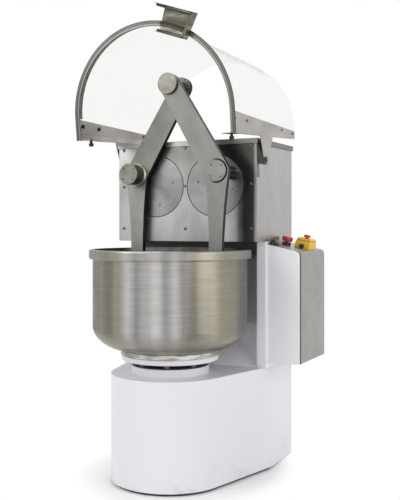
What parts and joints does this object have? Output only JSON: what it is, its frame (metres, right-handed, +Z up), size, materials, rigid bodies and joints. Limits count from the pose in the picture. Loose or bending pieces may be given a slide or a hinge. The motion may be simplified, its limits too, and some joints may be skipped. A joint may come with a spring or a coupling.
{
  "type": "electric dough mixer",
  "caption": "Floor-standing twin-arm dough mixer: crank discs drive two bent arms into a turning steel bowl under a tilting clear guard.",
  "frame": {"origin": "on the floor under the bowl's axis of rotation, in the plane of the floor plate's underside", "axes": "+Z up along the bowl's axis, -Y to the front where the operator stands, +X to the right seen from the front"},
  "size_m": [0.8813, 0.968, 2.009],
  "materials": {
    "white_paint": "powder coat, satin",
    "dark_steel": "matt",
    "recess_steel": "brushed, dark",
    "head_steel": "brushed",
    "plate_steel": "brushed",
    "disc_steel": "turned",
    "arm_steel": "ground, satin",
    "bowl_steel": "polished, spun",
    "guard_steel": "satin",
    "fastener": "satin",
    "bronze": "turned",
    "cast_grey": "painted",
    "motor_paint": "satin",
    "gear_iron": "machined",
    "black_plastic": "moulded",
    "black_rubber": "matt",
    "clear_sheet": "clear plastic",
    "yellow_plastic": "moulded",
    "red_plastic": "moulded",
    "green_plastic": "moulded"
  },
  "bodies": {
    "frame": {"base_plate": "dark_steel", "base_cabinet": "white_paint", "column_side_left": "white_paint", "column_side_right": "white_paint", "column_recess": "recess_steel", "column_rear_cover": "white_paint", "head_housing": "head_steel", "front_plate": "plate_steel", "front_plate_screws": "fastener", "head_lid": "head_steel", "head_rear_cover": "head_steel", "rear_cover_screws": "fastener", "bearing_plate_front": "cast_grey", "bearing_plate_rear": "cast_grey", "reducer_case": "motor_paint", "drive_motor": "motor_paint", "spindle_housing": "white_paint", "bowl_reducer": "motor_paint", "bowl_motor": "motor_paint", "control_box": "white_paint", "control_gasket": "black_rubber", "control_cover": "head_steel", "estop_base": "yellow_plastic", "button_bezels": "black_plastic", "hinge_blocks": "black_plastic", "hinge_brackets": "head_steel", "cable_gland": "black_plastic", "hinge_pins": "fastener"},
    "right_crank": {"disc_right": "disc_steel", "crank_pin_right": "disc_steel", "gear_right": "gear_iron"},
    "left_crank": {"disc_left": "disc_steel", "crank_pin_left": "disc_steel", "gear_left": "gear_iron"},
    "right_arm": {"arm_right": "arm_steel", "elbow_bush_right": "bronze", "elbow_cap_right": "arm_steel", "fork_tool": "bowl_steel", "apex_pin_front": "arm_steel"},
    "left_arm": {"arm_left": "arm_steel", "elbow_bush_left": "bronze", "elbow_cap_left": "arm_steel", "paddle_tool": "bowl_steel", "apex_pin_rear": "arm_steel"},
    "bowl": {"bowl": "bowl_steel", "bowl_collar": "bowl_steel", "turntable_disc": "white_paint", "turntable_spacers": "fastener", "bowl_spindle": "dark_steel"},
    "guard": {"guard_bow": "guard_steel", "guard_side_left": "guard_steel", "guard_side_right": "guard_steel", "guard_hood": "clear_sheet", "guard_handle": "guard_steel", "guard_bumpers": "black_rubber", "guard_screws": "fastener"},
    "estop": {"estop_mushroom": "red_plastic"},
    "start": {"start_button": "green_plastic"},
    "stop": {"stop_button": "red_plastic"},
    "knob": {"speed_knob": "black_plastic"}
  },
  "joints": [
    {"name": "right_disc_spin", "type": "hinge", "parent": "frame", "child": "right_crank", "pos_m": [0.148, 0.143, 1.279], "axis": [0, 1, 0], "continuous": true},
    {"name": "left_disc_spin", "type": "hinge", "parent": "frame", "child": "left_crank", "pos_m": [-0.148, 0.143, 1.279], "axis": [0, 1, 0], "continuous": true},
    {"name": "right_elbow", "type": "hinge", "parent": "right_crank", "child": "right_arm", "pos_m": [0.22984, -0.0075, 1.33255], "axis": [0, 1, 0], "continuous": true},
    {"name": "left_elbow", "type": "hinge", "parent": "left_crank", "child": "left_arm", "pos_m": [-0.22984, 0.1115, 1.33255], "axis": [0, 1, 0], "continuous": true},
    {"name": "bowl_spin", "type": "hinge", "parent": "frame", "child": "bowl", "pos_m": [0, 0, 0.523], "axis": [0, 0, 1], "continuous": true},
    {"name": "guard_tilt", "type": "hinge", "parent": "frame", "child": "guard", "pos_m": [0, 0.2, 1.389], "axis": [1, 0, 0], "range_deg": [0, 82]},
    {"name": "estop_press", "type": "slide", "parent": "frame", "child": "estop", "axis": [0.2079, 0, 0.9781], "range_m": [-0.004, 0], "stiffness_N_per_m": 1500, "springref_m": 0.004},
    {"name": "start_press", "type": "slide", "parent": "frame", "child": "start", "axis": [0.2079, 0, 0.9781], "range_m": [-0.003, 0], "stiffness_N_per_m": 700, "springref_m": 0.002},
    {"name": "stop_press", "type": "slide", "parent": "frame", "child": "stop", "axis": [0.2079, 0, 0.9781], "range_m": [-0.004, 0], "stiffness_N_per_m": 1200, "springref_m": 0.003},
    {"name": "knob_turn", "type": "hinge", "parent": "frame", "child": "knob", "pos_m": [0.3643, 0.284, 1.01439], "axis": [0.2079, 0, 0.9781], "range_deg": [-135, 135]}
  ],
  "couplings": [
    {"joint": "left_disc_spin", "follows": "right_disc_spin", "ratio": -1},
    {"joint": "right_elbow", "follows": "right_disc_spin", "ratio": -1},
    {"joint": "left_elbow", "follows": "right_disc_spin", "ratio": 1}
  ]
}
